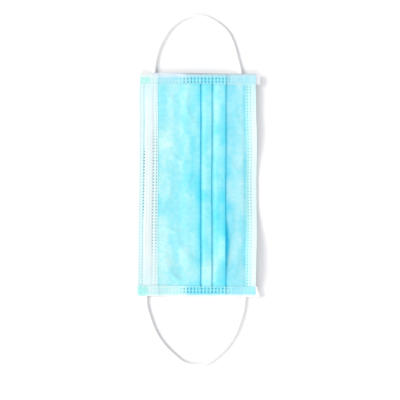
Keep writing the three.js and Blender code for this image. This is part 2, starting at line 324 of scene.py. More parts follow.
def arc(x, z, radius, start, end, count):
    """Points on an arc, both ends included, by angles in degrees."""
    angle = np.radians(np.linspace(start, end, count))
    return np.stack([x + radius * np.cos(angle), z + radius * np.sin(angle)], axis=-1)


ARC_POINTS = 10
RISE_POINTS = 8
FLAT_STEP = 1.25


def pleated_section(offset, start, end, pitch, gape):
    """A web's section through the pleats, at an offset from the laminate's middle.

    It runs along the bottom, rises over each pleat, goes round the folded edge, back beneath it,
    round the hidden fold and on along the bottom. gape lifts the last pleat's edge.
    """
    low = LAMINATE / 2
    radius = pitch / 2
    points = []
    at = start
    for index, (fold, rise, over) in enumerate(PLEATS):
        edge = NOSE_EDGE + fold - LAMINATE / 2 - PITCH_OPEN / 2
        hidden = edge - over
        rise_end = hidden - PITCH_OPEN / 2 - LAMINATE / 2 - FOLD_ROOM
        rise_start = rise_end - rise
        count = max(2, round(abs(rise_start - at) / FLAT_STEP))
        points.append(straight((at, low + offset), (rise_start, low + offset), count))
        t = np.arange(RISE_POINTS) / RISE_POINTS
        climb = smooth(0, 1, t)
        slope = 2 * pitch / rise * 6 * t * (1 - t)
        lean = offset * slope / np.sqrt(1 + slope**2)
        rise_x = rise_start + rise * t - lean
        rise_z = low + 2 * pitch * climb + offset / np.sqrt(1 + slope**2)
        points.append(np.stack([rise_x, rise_z], axis=-1))
        top = low + 2 * pitch + offset
        middle = low + pitch - offset
        count = round(over / FLAT_STEP) + 1
        points.append(straight((rise_end, top), (edge, top), count))
        points.append(arc(edge, low + 1.5 * pitch, radius + offset, 90, -90, ARC_POINTS)[:-1])
        points.append(straight((edge, middle), (hidden, middle), count))
        points.append(arc(hidden, low + radius, radius - offset, 90, 270, ARC_POINTS)[:-1])
        if index == len(PLEATS) - 1:
            lifted = np.concatenate(points[-5:-1])
            up = gape * smooth(hidden - 1, edge, lifted[:, 0])
            lifted[:, 1] += up
            points[-5:-1] = [lifted]
        at = hidden
    count = round((end - at) / FLAT_STEP)
    points.append(straight((at, low + offset), (end, low + offset), count))
    points.append(np.array([[end, low + offset]]))
    return np.concatenate(points)


def gape_at(y):
    """How far the third pleat stands open at y."""
    return GAPE_LIFT * (1 - smooth(0, GAPE_REACH, abs(y - GAPE_CENTRE)))


def pitch_at(y):
    """Height from one layer of a pleat to the next at y."""
    return PITCH_OPEN + (PITCH_PRESSED - PITCH_OPEN) * float(towards_binding(y, PRESS_LENGTH))


def cover_section(y):
    """The blue outer web: from just inside the nose edge to a little under the chin hem."""
    start = NOSE_EDGE + COVER_INSET
    end = CHIN_HEM_END + COVER_UNDER_CHIN_HEM
    return pleated_section(PLY, start, end, pitch_at(y), gape_at(y))


FLAP_STEP = 0.52
BEND_POINTS = 8


def pocket_height(distance, y):
    """How far the nose hem stands up over its pocket, by distance from the nose edge."""
    inside = smooth_from(wire_low[1], WIRE_START_SPAN, y)
    inside = inside * (1 - smooth_from(wire_high[1], WIRE_END_SPAN, y))
    high = POCKET["empty"] + (POCKET["over_wire"] - POCKET["empty"]) * inside
    high = high * (1 - POCKET_PRESSED * towards_binding(y, PRESS_LENGTH))
    up = smooth_from(POCKET["start"], POCKET_RISE_SPAN, distance)
    end = POCKET["start"] + POCKET["width"]
    return high * up * (1 - smooth_from(end, POCKET_FALL_SPAN, distance))


def lining_section(y):
    """The white inner web: a flap on the front of the nose edge, the back, and the chin flap."""
    low = LAMINATE / 2 - PLY
    flap = LAMINATE + PLY_GAP + WEB / 2
    radius = (flap - low) / 2
    nose_bend = NOSE_EDGE + radius + WEB / 2
    chin_bend = CHIN_EDGE - radius - WEB / 2
    count = round((NOSE_HEM_END - nose_bend) / FLAP_STEP)
    front = straight((NOSE_HEM_END, flap), (nose_bend, flap), count)
    front[:, 1] += pocket_height(front[:, 0] - NOSE_EDGE, y)
    nose = arc(nose_bend, low + radius, radius, 90, 270, BEND_POINTS)[:-1]
    back = pleated_section(-PLY, nose_bend, chin_bend, pitch_at(y), gape_at(y))[:-1]
    chin = arc(chin_bend, low + radius, radius, -90, 90, BEND_POINTS)[:-1]
    count = round((chin_bend - CHIN_HEM_END) / FLAP_STEP)
    turned = straight((chin_bend, flap), (CHIN_HEM_END, flap), count)
    return np.concatenate([front, nose, back, chin, turned, [[CHIN_HEM_END, flap]]])


def unit(vectors):
    """Vectors of length 1 in the same directions."""
    return vectors / np.linalg.norm(vectors, axis=1)[:, None]


def distances(path):
    """How far along a path each of its points is."""
    return np.concatenate([[0], np.cumsum(np.linalg.norm(np.diff(path, axis=0), axis=1))])


def both_sides(path, thickness):
    """The left and the right side of a wall along a path."""
    step = unit(np.diff(path, axis=0))
    before = np.vstack([step[:1], step])
    after = np.vstack([step, step[-1:]])
    tangent = unit(before + after)
    normal = np.stack([-tangent[:, 1], tangent[:, 0]], axis=-1)
    return path + normal * thickness / 2, path - normal * thickness / 2


def new_object(name, data):
    """An object in the scene for a mesh, a light or a camera."""
    made = bpy.data.objects.new(name, data)
    bpy.context.scene.collection.objects.link(made)
    return made


def make_object(name, vertices, faces, material, sharp):
    """A smooth shaded mesh object from vertices in millimetres, with edges above an angle sharp."""
    mesh = bpy.data.meshes.new(name)
    mesh.from_pydata((vertices * MM).tolist(), [], faces)
    mesh.polygons.foreach_set("use_smooth", [True] * len(mesh.polygons))
    mesh.set_sharp_from_angle(angle=math.radians(sharp))
    mesh.materials.append(material)
    mesh.update()
    return new_object(name, mesh)


def grid_faces(rows, columns, first=0, wrap=False):
    """Quads of a grid of vertices, its columns closed into rings if wrap is true."""
    here = np.arange(rows - 1)[:, None] * columns
    below = here + columns
    column = np.arange(columns if wrap else columns - 1)[None, :]
    beside = (column + 1) % columns
    quads = np.stack([here + column, here + beside, below + beside, below + column], axis=-1)
    return quads.reshape(-1, 4) + first


def rim_indices(rows, columns):
    """Indices round the border of a grid, in order."""
    grid = np.arange(rows * columns).reshape(rows, columns)
    return np.concatenate([grid[0, :-1], grid[:-1, -1], grid[-1, :0:-1], grid[:0:-1, 0]])


def wall_object(name, front, back, material):
    """A closed sheet between two grids of points of the same size."""
    rows, columns = front.shape[:2]
    size = rows * columns
    rim = rim_indices(rows, columns)
    after = np.roll(rim, -1)
    faces = np.concatenate([
        grid_faces(rows, columns),
        grid_faces(rows, columns, size)[:, ::-1],
        np.stack([after, rim, rim + size, after + size], axis=-1),
    ])
    vertices = np.concatenate([front.reshape(-1, 3), back.reshape(-1, 3)])
    return make_object(name, vertices, faces.tolist(), material, sharp=50)


def add_values(made, name, kind, values):
    """Stores a value for each vertex, which the materials read."""
    attribute = made.data.attributes.new(name, kind, "POINT")
    key = "value" if kind == "FLOAT" else "color" if kind == "FLOAT_COLOR" else "vector"
    attribute.data.foreach_set(key, np.ascontiguousarray(values, dtype=np.float32).ravel())


def seen(red, green, blue):
    """The surface colour that a screen shows as these values, 0 to 255, in the scene's light."""
    value = np.array([red, green, blue]) / 255
    value = np.where(value <= 0.04045, value / 12.92, ((value + 0.055) / 1.055) ** 2.4)
    return value / LIGHT


def blend(first, second, share):
    """A colour between two, for each point."""
    share = np.asarray(share)[..., None]
    return first * (1 - share) + second * share


def layered(colour, *layers):
    """A colour with others laid over it in turn, each with its share at each point."""
    for other, share in layers:
        colour = blend(colour, other, share)
    return colour


# The light on a level, open surface, and the colours that the photograph shows under it
LIGHT = 1.32
BLUE = seen(170, 245, 252)
BLUE_LOW_END = seen(175, 246, 252)
BLUE_OVER_PLEAT = seen(147, 242, 252)
BLUE_PANEL_1 = seen(150, 243, 252)
BLUE_PANEL_2 = seen(145, 242, 252)
BLUE_PANEL_3 = seen(170, 241, 251)
BLUE_PANEL_3_LEFT = seen(150, 234, 250)
# The third panel near the chin crease at the wearer's left end: painted paler, a painted light
# where the surface lies in shade
BLUE_PANEL_3_PAINTED_LIGHT = seen(182, 245, 252)
# Painted shade towards and past the folded edges
BLUE_FOLD_SHADE = seen(118, 234, 253)
# Deep blue of a folded edge seen edge-on, and painted shadow just past the edge and in the open
# pleat
BLUE_FOLD_EDGE_AND_SHADOW = np.array([0.01, 0.68, 0.95])
# Painted shade in the chin crease
BLUE_CREASE_SHADE = seen(118, 222, 240)
HEM_WHITE = seen(238, 253, 254)
HEM_EDGE = seen(226, 252, 253)
HEM_RAW_EDGE = seen(214, 252, 254)
HEM_END = seen(224, 251, 253)
HEM_OVER_COVER_EDGE = seen(200, 246, 252)
CHIN_FLAP_INNER = seen(178, 246, 249)
CHIN_FLAP_OUTER = seen(208, 249, 252)
# The chin flap past the blue web below it: white, painted greyer as painted shade to temper the
# light that its raised slope catches
CHIN_FLAP_WHITE_AND_SHADE = seen(225, 248, 249)
LINING_WHITE = seen(243, 248, 249)
BINDING_PALE = seen(177, 238, 251)
BINDING_PALE_NOSE = seen(206, 251, 251)
BINDING_PALE_CHIN = seen(174, 241, 251)
BINDING_PLEATS = seen(150, 238, 251)
BINDING_CORNER = seen(184, 250, 243)
BINDING_HEM = seen(214, 249, 251)
BINDING_LIP_WHITE = seen(247, 252, 251)
BINDING_LIP_LEFT = seen(228, 245, 255)
BINDING_LIP_BLUE = seen(200, 236, 246)
# The right binding's lip and tab: white, painted lighter still as painted light over the shade of
# its turn
BINDING_LIP_RIGHT_PAINTED_LIGHT = np.array([0.9, 0.92, 0.92])
# Painted shade: a thin grey line along the outer turn of the left binding
BINDING_EDGE_SHADE = seen(168, 178, 184)
# The left binding's tab past the chin edge, painted grey as painted shade
BINDING_TAB_SHADE = seen(236, 240, 244)
ELASTIC_WHITE = np.array([0.95, 0.93, 0.9])
WIRE_WHITE = seen(236, 238, 238)
# Cloudy shades of the outer web: size of a cell, share and seed
BLOTCHES = [(13, 0.58, 51), (6.5, 0.42, 52)]
BLOTCH = np.array([0.075, 0.032, 0.004])
BLOTCH_NARROW = 1.4
BLOTCH_LONG = 0.75
BLOTCH_SPAN = (0.25, 0.75)
BLUENESS = 2.2
# The largest cloudy places, the last one painted shade where the panel tilts towards the light: x
# and y, half width, half length, and how much paler, or deeper below 0
PATCHES_AND_SHADE = [
    (-25, 25, 7, 12, 1.7),
    (-10, 15, 4, 11, -2.6),
    (-17, 59, 4.5, 16, -1.8),
    (-4.5, -46, 4, 16, 1.8),
    (10, 18, 8, 8, -1.6),
    (10, -17, 9, 11, -1.6),
    (10, 58, 8, 11, 1.2),
    (10, -65, 8, 10, 1.4),
    (24, 17, 5, 11, -2.2),
    (26, -28, 5, 24, -2.4),
]

# Where the blue web's colours change
LOW_END_SPAN = (-10, -60)
OVER_PLEAT_SPAN = (-10.5, -6)
PANEL_SOFT = 0.2
PANEL_3_LEFT_SPAN = (10, 85)
# Where the painted light on the third panel lies, along X and along Y
PANEL_3_LIGHT_X = (26, 34)
PANEL_3_LIGHT_Y = (34, 50)
# Painted shade near the folded edges: its share, and how far before the first and the third edge it
# starts
FOLD_SHADE_SHARE = 0.75
SHADE_BEFORE_FOLD = 5
# Painted shade past a folded edge: which pleat, share and reach
SHADE_PAST_FOLDS = [(0, 0.8, 4), (2, 0.5, 5)]
# Painted shadow at each folded edge: its stretch, counted from the edge, and its share for each
# pleat
FOLD_SHADOW_STRETCH = (-0.35, 0.6, 0.22)
FOLD_SHADOW_DEPTHS = [1.0, 0.6, 1.0]
# Painted shadow in the open third pleat: how far past its edge it is full and where it ends, where
# the pleat is widest open
GAPE_SHADOW_FULL = 1.2
GAPE_SHADOW_END = 4.6
# Painted shade along the chin crease: its stretch, counted from the crease
CREASE_SHADE_STRETCH = (-0.8, 0.4, 0.3)

# Where the turned hems' colours change
HEM_EDGE_SPAN = (1, 5)
HEM_RAW_SPAN = (-4.5, 0)
HEM_END_SPAN = (55, 80)
COVER_EDGE = {"x": -43.5, "slant": 0.008, "stretch": (-0.5, 0.5, 0.3)}
CHIN_FLAP_SPAN = (1, 2.6)
# Where the chin flap's painted shade starts: span from the end of the blue web below it
CHIN_WHITE_SHADE_SPAN = (-0.4, 0.4)
CHIN_LEFT = {"share": 0.35, "span": (40, 75)}

# Where the bindings' colours change. The lip is the strip along the outer edge, and the tab is what
# runs past the chin edge.
RIGHT_PALE_SPAN = (-25, 10)
PLEAT_END_SOFT = 2.5
OVER_HEM_SPAN = (-1.5, 1)
CORNER_SPAN = (7, 9)
LIP_INSET = {"left": 2.4, "right": 1.0}
LIP_LENGTH = 3
LIP_LEFT_SPAN = (-41, -35)
LIP_BLUE_SPAN = (-16, -2)
LIP_CORNER_SPAN = (5, 8)
BINDING_CLOUDS = 0.5
RAW_EDGE = {"share": 0.3, "span": (0.3, 0.9)}
# Painted shade along the left binding's outer turn: span from the outer edge, and stretch along X
OUTER_EDGE_SHADE = {"span": (-1.15, -0.75), "stretch": (-12, 44, 14)}
# Where the tabs' colour starts: painted shade on the left binding, painted light on the right one
TAB_SPAN = (-0.6, 0.2)

# How strongly the hems' dots show: from and to where along X, at least, and how much more in a
# stretch along Y
HEM_DOTS = [
    (-50, -44, 0.1, 0, (-48, 40, 14)),
    (-44, -40, 0.12, 0.74, (-23, 29, 5)),
    (-40, 0, 0.1, 0.5, (-48, 40, 14)),
    (0, 50, 0.36, 0, (-48, 40, 14)),
]
# How strongly the bindings' dots show: at least, and how much more in each stretch along X
END_DOTS_LEAST = 0.02
END_DOTS = [(0.7, (-9, 20, 2)), (0.3, (-14, 29, 2)), (0.09, (-27, -16, 2))]


def pleat_edges():
    """Where the folded edges are."""
    return [NOSE_EDGE + fold for fold, _, _ in PLEATS]


def blotched_and_shaded(colour, x, y):
    """The colour with soft patches, in which the web is thicker or thinner, and one place of
    painted shade.
    """
    u = BLOTCH_NARROW * x
    v = BLOTCH_LONG * y
    patch = sum(share * noise(u, v, cell, seed) for cell, share, seed in BLOTCHES)
    patch = 2 * smooth(*BLOTCH_SPAN, patch) - 1
    for middle_x, middle_y, wide, long, paler in PATCHES_AND_SHADE:
        away = ((x - middle_x) / wide) ** 2 + ((y - middle_y) / long) ** 2
        patch = patch + paler * np.exp(-away)
    blueness = np.clip(BLUENESS * (1 - colour[..., 0] / colour[..., 1]), 0, 1)
    return colour + BLOTCH * (patch * blueness)[..., None]


def cover_colour(x, y, z):
    """The blue web: paler or deeper by how many layers lie below it, with painted shade at the
    folds.
    """
    edges = pleat_edges()
    first, second, third = edges
    # The third panel, with painted light near the crease at the wearer's left end
    last = layered(
        BLUE_PANEL_3,
        (BLUE_PANEL_3_LEFT, smooth(*PANEL_3_LEFT_SPAN, y)),
        (BLUE_PANEL_3_PAINTED_LIGHT, smooth(*PANEL_3_LIGHT_X, x) * smooth(*PANEL_3_LIGHT_Y, y)),
    )
    colour = layered(
        BLUE,
        (BLUE_LOW_END, smooth(*LOW_END_SPAN, y)),
        (BLUE_OVER_PLEAT, smooth_from(first, OVER_PLEAT_SPAN, x) * (x < first)),
        (BLUE_PANEL_1, bump(x, first, second, PANEL_SOFT)),
        (BLUE_PANEL_2, bump(x, second, third, PANEL_SOFT)),
        (last, smooth(third - PANEL_SOFT, third + PANEL_SOFT, x)),
    )
    # Painted shade over the last stretch before the first and third folded edges, and past the
    # edges
    fold_shade = sum(smooth(edge - SHADE_BEFORE_FOLD, edge, x) * (x < edge) for edge in (first, third))
    for pleat, share, reach in SHADE_PAST_FOLDS:
        edge = edges[pleat]
        fold_shade = fold_shade + share * (x >= edge) * (1 - smooth(edge, edge + reach, x))
    colour = blotched_and_shaded(blend(colour, BLUE_FOLD_SHADE, FOLD_SHADE_SHARE * fold_shade), x, y)
    # Deep blue round each folded edge, and painted shadow just past it
    fold = sum(share * bump_from(edge, FOLD_SHADOW_STRETCH, x) for edge, share in zip(edges, FOLD_SHADOW_DEPTHS))
    # Painted shadow inside the third pleat where it stands open
    wide = gape_at(y) / GAPE_LIFT
    gape = 1 - smooth(third + GAPE_SHADOW_FULL * wide, third + GAPE_SHADOW_END * wide + 0.1, x)
    gape = wide**0.5 * (x > third - PANEL_SOFT) * gape
    colour = blend(colour, BLUE_FOLD_EDGE_AND_SHADOW, np.clip(fold + gape, 0, 1))
    # A thin line of painted shade along the chin crease
    return blend(colour, BLUE_CREASE_SHADE, bump_from(CHIN_CREASE, CREASE_SHADE_STRETCH, x))


def lining_colour(x, y, z):
    """The white web: tinted where it lies over the blue, and plain on the inner face."""
    below = COVER_EDGE["x"] + COVER_EDGE["slant"] * y
    hem = layered(
        HEM_WHITE,
        (HEM_EDGE, 1 - smooth_from(NOSE_EDGE, HEM_EDGE_SPAN, x)),
        (HEM_RAW_EDGE, smooth_from(NOSE_HEM_END, HEM_RAW_SPAN, x)),
        (HEM_END, smooth(*HEM_END_SPAN, np.abs(y))),
        (HEM_OVER_COVER_EDGE, bump_from(below, COVER_EDGE["stretch"], x)),
    )
    # Past the blue web below it, the chin flap is painted greyer as painted shade
    chin = layered(
        CHIN_FLAP_INNER,
        (CHIN_FLAP_OUTER, smooth_from(CHIN_HEM_END, CHIN_FLAP_SPAN, x)),
        (CHIN_FLAP_WHITE_AND_SHADE, smooth_from(CHIN_HEM_END + COVER_UNDER_CHIN_HEM, CHIN_WHITE_SHADE_SPAN, x)),
        (CHIN_FLAP_INNER, CHIN_LEFT["share"] * smooth(*CHIN_LEFT["span"], y)),
    )
    front = blend(hem, chin, x > 0)
    return blend(LINING_WHITE, front, z > LAMINATE)


def binding_colour(x, y, z):
    """The thin web folded round an end, which shows what is below it, with painted shade and light
    at its edges.
    """
    first, _, third = pleat_edges()
    on_left = (y > 0)[..., None]
    right = blend(BINDING_PALE_NOSE, BINDING_PALE_CHIN, smooth(*RIGHT_PALE_SPAN, x))
    colour = layered(
        np.where(on_left, BINDING_PALE, right),
        (BINDING_PLEATS, bump(x, first - 10, third + 1, PLEAT_END_SOFT)),
        (BINDING_HEM, 1 - smooth_from(NOSE_HEM_END, OVER_HEM_SPAN, x)),
        (BINDING_CORNER, 1 - smooth_from(NOSE_EDGE, CORNER_SPAN, x)),
    )
    lip_start = SHEET_HALF - np.where(y > 0, LIP_INSET["left"], LIP_INSET["right"])
    lip = smooth(lip_start, lip_start + LIP_LENGTH, np.abs(y))
    left = layered(
        BINDING_LIP_WHITE,
        (BINDING_LIP_LEFT, smooth(*LIP_LEFT_SPAN, x)),
        (BINDING_LIP_BLUE, smooth(*LIP_BLUE_SPAN, x)),
    )
    # The right binding's lip, white with painted light over the shade of its turn
    right = blend(BINDING_CORNER, BINDING_LIP_RIGHT_PAINTED_LIGHT, smooth_from(NOSE_EDGE, LIP_CORNER_SPAN, x))
    raw = RAW_EDGE["share"] * (1 - smooth(*RAW_EDGE["span"], np.abs(y) - BINDING_START))
    # A thin line of painted shade along the outer turn of the left binding
    edge = smooth_from(HALF, OUTER_EDGE_SHADE["span"], y) * bump(x, *OUTER_EDGE_SHADE["stretch"])
    # The left tab is painted grey as painted shade, the right one white with painted light
    tab = np.where(on_left, BINDING_TAB_SHADE, BINDING_LIP_RIGHT_PAINTED_LIGHT)
    return layered(
        colour,
        (blotched_and_shaded(colour, x, y), np.full(x.shape, BINDING_CLOUDS)),
        (np.where(on_left, left, right), np.maximum(lip, z < 0)),
        (BINDING_LIP_WHITE, raw),
        (BINDING_EDGE_SHADE, edge),
        (tab, smooth_from(CHIN_EDGE, TAB_SPAN, x)),
    )


def uneven(x, y, cell, seed):
    """How much more or less strongly single dots show."""
    return 0.7 + 0.6 * noise(x, y, cell, seed)


def hem_weld_strength(x, y):
    """The rows of dots show well in the middle of the hem, and hardly towards its ends."""
    strength = 0
    for start, end, least, more, stretch in HEM_DOTS:
        strength = strength + (least + more * bump(y, *stretch)) * (x >= start) * (x < end)
    return strength * uneven(x, y, 4, 31)


def end_weld_strength(x, y):
    """The dots of a binding show most where they go through the pleats."""
    strength = END_DOTS_LEAST + sum(more * bump(x, *stretch) for more, stretch in END_DOTS)
    return strength * uneven(x, y, 5, 41)


def sheet_object(name, section, material, colour):
    """A web whose section is worked out for each row along Y."""
    front, back, cloth, tint, weld = [], [], [], [], []
    for y in ROWS:
        path = section(y)
        level = np.full(len(path), y)
        for found, side in zip((front, back), both_sides(path, WEB)):
            found.append(place(side[:, 0], side[:, 1], level))
        cloth.append(np.stack([path[:, 0], level, distances(path)], axis=-1))
        tint.append(colour(path[:, 0], level, path[:, 1]))
        weld.append(hem_weld_strength(path[:, 0], level))
    made = wall_object(name, np.array(front), np.array(back), material)
    store_cloth(made, np.array(cloth), np.array(tint), np.array(weld))
    return made


def store_cloth(made, cloth, tint, weld):
    """Stores where each vertex is on the flat cloth, its colour and how strong its welds are."""
    opaque = np.concatenate([tint, np.ones(tint.shape[:-1] + (1,))], axis=-1)
    add_values(made, "cloth", "FLOAT_VECTOR", np.concatenate([cloth.reshape(-1, 3)] * 2))
    add_values(made, "tint", "FLOAT_COLOR", np.concatenate([opaque.reshape(-1, 4)] * 2))
    add_values(made, "weld", "FLOAT", np.concatenate([weld.ravel()] * 2))


# Materials
FIBRE_STRETCH = 5.0
BOND_TINT = (0.45, 0.7, 0.75, 1)
CLOUD_TINT = np.array([1.5, 0.22, 0.08])
WHITE = (1, 1, 1, 1)
STITCH_PITCH = 0.85
STITCH_SLANT = 0.75
# How dark the painted shade between the stitches is
STITCH_SHADE = 0.88
SCUFF_SHADE = 0.93


def add(tree, kind, inputs=None, **settings):
    """Adds a node, links the inputs that are given as sockets, and sets the others."""
    made = tree.nodes.new("ShaderNode" + kind)
    for name, value in settings.items():
        setattr(made, name, value)
    for key, value in (inputs or {}).items():
        if isinstance(value, bpy.types.NodeSocket):
            tree.links.new(value, made.inputs[key])
        else:
            made.inputs[key].default_value = value
    return made


def maths(tree, operation, first, second=0.0, third=0.0):
    """The result of a math node."""
    inputs = {0: first, 1: second, 2: third}
    return add(tree, "Math", inputs, operation=operation).outputs[0]


def times(tree, first, second, added=None):
    """The product of two values, with a third added where one is given."""
    if added is None:
        return maths(tree, "MULTIPLY", first, second)
    return maths(tree, "MULTIPLY_ADD", first, second, added)


def ramp(tree, value, start, end):
    """Goes smoothly from 0 to 1 as value goes from start to end."""
    inputs = {"Value": value, "From Min": start, "From Max": end}
    return add(tree, "MapRange", inputs, interpolation_type="SMOOTHSTEP").outputs[0]


def mix_colour(tree, share, first, second, kind="MIX"):
    """A mix of two colours."""
    inputs = {0: share, 6: first, 7: second}
    return add(tree, "Mix", inputs, data_type="RGBA", blend_type=kind).outputs[2]


def grain(tree, vector, scale, detail):
    """Noise from 0 to 1, whose scale is in cells to a unit of the vector."""
    inputs = {"Vector": vector, "Scale": scale, "Detail": detail}
    return add(tree, "TexNoise", inputs).outputs["Fac"]


def vector_of(tree, x, y, z=0.0):
    """A vector from three values."""
    return add(tree, "CombineXYZ", {0: x, 1: y, 2: z}).outputs[0]


def stored(tree, name, output):
    """A value that is stored for each vertex."""
    return add(tree, "Attribute", attribute_name=name).outputs[output]


def raised(tree, shader, height, strength, depth):
    """Gives a shader a relief, whose depth is in millimetres."""
    inputs = {"Height": height, "Strength": strength, "Distance": depth * MM}
    normal = add(tree, "Bump", inputs).outputs[0]
    tree.links.new(normal, shader.inputs["Normal"])


def fresh_material(name, values):
    """A new material, its tree and its shader node, with values for the shader's sockets."""
    material = bpy.data.materials.new(name)
    material.use_nodes = True
    tree = material.node_tree
    shader = tree.nodes["Principled BSDF"]
    for socket, value in values.items():
        shader.inputs[socket].default_value = value
    return material, tree, shader


def dots(tree, across, along, rows, pitch, radius):
    """1 inside the dots of some rows, by the distance across and along them."""
    nearest = 100.0
    for row in rows:
        off = maths(tree, "ABSOLUTE", maths(tree, "SUBTRACT", across, row))
        nearest = maths(tree, "MINIMUM", off, nearest)
    half = maths(tree, "ADD", along, pitch / 2)
    turn = maths(tree, "SUBTRACT", maths(tree, "FLOORED_MODULO", half, pitch), pitch / 2)
    square = times(tree, nearest, nearest, times(tree, turn, turn))
    away = ramp(tree, maths(tree, "SQRT", square), radius * 0.6, radius * 1.15)
    return maths(tree, "SUBTRACT", 1.0, away)


def bond_points(tree, u, v, pitch_u, pitch_v):
    """The staggered bond points of a nonwoven web."""
    wave_u = maths(tree, "COSINE", times(tree, u, math.pi / pitch_u))
    wave_v = maths(tree, "COSINE", times(tree, v, math.pi / pitch_v))
    return ramp(tree, times(tree, wave_u, wave_v), 0.55, 0.8)


def nonwoven(name, rows, pitch, radius, dent, cloud, ends=False):
    """A bonded nonwoven web: blotchy fibre, fine streaks, bond points and rows of spot welds."""
    values = {"Specular IOR Level": 0.25, "Sheen Weight": 0.08, "Sheen Roughness": 0.5}
    material, tree, shader = fresh_material(name, values)
    cloth = stored(tree, "cloth", "Vector")
    tint = stored(tree, "tint", "Color")
    weld = stored(tree, "weld", "Fac")
    place_x, place_y, length = add(tree, "SeparateXYZ", {0: cloth}).outputs[:3]
    flat = vector_of(tree, length, place_y)
    streaked = vector_of(tree, times(tree, length, FIBRE_STRETCH), place_y)
    clouds = grain(tree, flat, scale=0.3, detail=3.0)
    specks = grain(tree, flat, scale=1.3, detail=2.0)
    fibres = grain(tree, streaked, scale=1.1, detail=4.0)
    points = bond_points(tree, length, place_y, pitch_u=0.85, pitch_v=0.62)

    pale = (*(1 + cloud * CLOUD_TINT), 1)
    full = (*(1 - cloud * CLOUD_TINT), 1)
    cloudy = times(tree, clouds, 0.55, times(tree, specks, 0.45))
    cloudy = ramp(tree, cloudy, 0.36, 0.62)
    colour = mix_colour(tree, 1.0, tint, mix_colour(tree, cloudy, full, pale), "MULTIPLY")
    streak = times(tree, ramp(tree, fibres, 0.45, 0.75), 0.1)
    colour = mix_colour(tree, streak, colour, WHITE)
    bonded = times(tree, points, 0.12)
    colour = mix_colour(tree, bonded, colour, BOND_TINT, "MULTIPLY")

    across, along = (maths(tree, "ABSOLUTE", place_y), place_x) if ends else (place_x, place_y)
    spots = dots(tree, across, along, rows, pitch, radius)
    spots = times(tree, spots, weld)
    colour = mix_colour(tree, spots, colour, dent, "MULTIPLY")
    tree.links.new(colour, shader.inputs["Base Color"])

    relief = times(tree, fibres, 0.6, times(tree, specks, 0.3))
    relief = maths(tree, "SUBTRACT", relief, times(tree, points, 0.5))
    relief = maths(tree, "SUBTRACT", relief, times(tree, spots, 0.8))
    raised(tree, shader, relief, strength=0.35, depth=0.12)
    smoother = maths(tree, "MAXIMUM", times(tree, points, 0.5), spots)
    roughness = times(tree, smoother, -0.3, 0.85)
    tree.links.new(roughness, shader.inputs["Roughness"])
    return material


def knitted_elastic(name):
    """Round knitted elastic: columns of small stitches along the cord."""
    values = {"Roughness": 0.8, "Specular IOR Level": 0.3, "Sheen Weight": 0.1}
    material, tree, shader = fresh_material(name, values)
    cloth = stored(tree, "cloth", "Vector")
    length, column, _ = add(tree, "SeparateXYZ", {0: cloth}).outputs[:3]
    inside = maths(tree, "ABSOLUTE", maths(tree, "SUBTRACT", maths(tree, "FRACT", column), 0.5))
    slanted = times(tree, inside, STITCH_SLANT, length)
    stitch = maths(tree, "SINE", times(tree, slanted, math.tau / STITCH_PITCH))
    stitch = times(tree, stitch, 0.5, 0.5)
    groove = ramp(tree, inside, 0.5, 0.32)
    yarn = times(tree, stitch, groove)
    fuzz = grain(tree, vector_of(tree, length, times(tree, column, 2.0)), scale=3.0, detail=3.0)
    # The cord is painted darker between the stitches, as painted shade, and at random with the fuzz
    light = (*ELASTIC_WHITE, 1)
    dark = (*(ELASTIC_WHITE * STITCH_SHADE), 1)
    shade = times(tree, fuzz, 0.3, times(tree, yarn, 0.8))
    colour = mix_colour(tree, shade, dark, light)
    tree.links.new(colour, shader.inputs["Base Color"])
    relief = times(tree, fuzz, 0.3, yarn)
    raised(tree, shader, relief, strength=0.5, depth=0.18)
    return material


def wire_plastic(name):
    """The dull white plastic round the steel of the nose wire."""
    material, tree, shader = fresh_material(name, {})
    where = add(tree, "TexCoord").outputs["Object"]
    scuffs = grain(tree, where, scale=900.0, detail=3.0)
    scuffed = (*(WIRE_WHITE * SCUFF_SHADE), 1)
    shade = mix_colour(tree, ramp(tree, scuffs, 0.4, 0.7), scuffed, (*WIRE_WHITE, 1))
    tree.links.new(shade, shader.inputs["Base Color"])
    tree.links.new(times(tree, scuffs, 0.25, 0.4), shader.inputs["Roughness"])
    raised(tree, shader, scuffs, strength=0.1, depth=0.1)
    return material


HEM = {"rows": HEM_WELD_ROWS, "pitch": HEM_WELD_PITCH}
END = {"rows": END_WELD_ROWS, "pitch": END_WELD_PITCH, "ends": True}
blue_web = nonwoven("blue_web", radius=0.6, dent=(0.6, 0.8, 0.85, 1), cloud=0.12, **HEM)
white_web = nonwoven("white_web", radius=0.75, dent=(0.1, 0.38, 0.41, 1), cloud=0.03, **HEM)
binding_web = nonwoven("binding_web", radius=0.74, dent=(0.26, 0.68, 0.84, 1), cloud=0.06, **END)
elastic = knitted_elastic("knitted_elastic")
plastic = wire_plastic("wire_plastic")

cover = sheet_object("outer_cover", cover_section, blue_web, cover_colour)
lining = sheet_object("inner_lining", lining_section, white_web, lining_colour)


# Nose wire: half the strip's thickness, its ridges, and its height above the laminate
WIRE_POINTS = 21
WIRE_THICK = 0.16
WIRE_EDGE = 0.03
WIRE_RIDGE = {"up": 0.1, "wide": 0.35, "at": 0.6}
WIRE_LIFT = 0.3


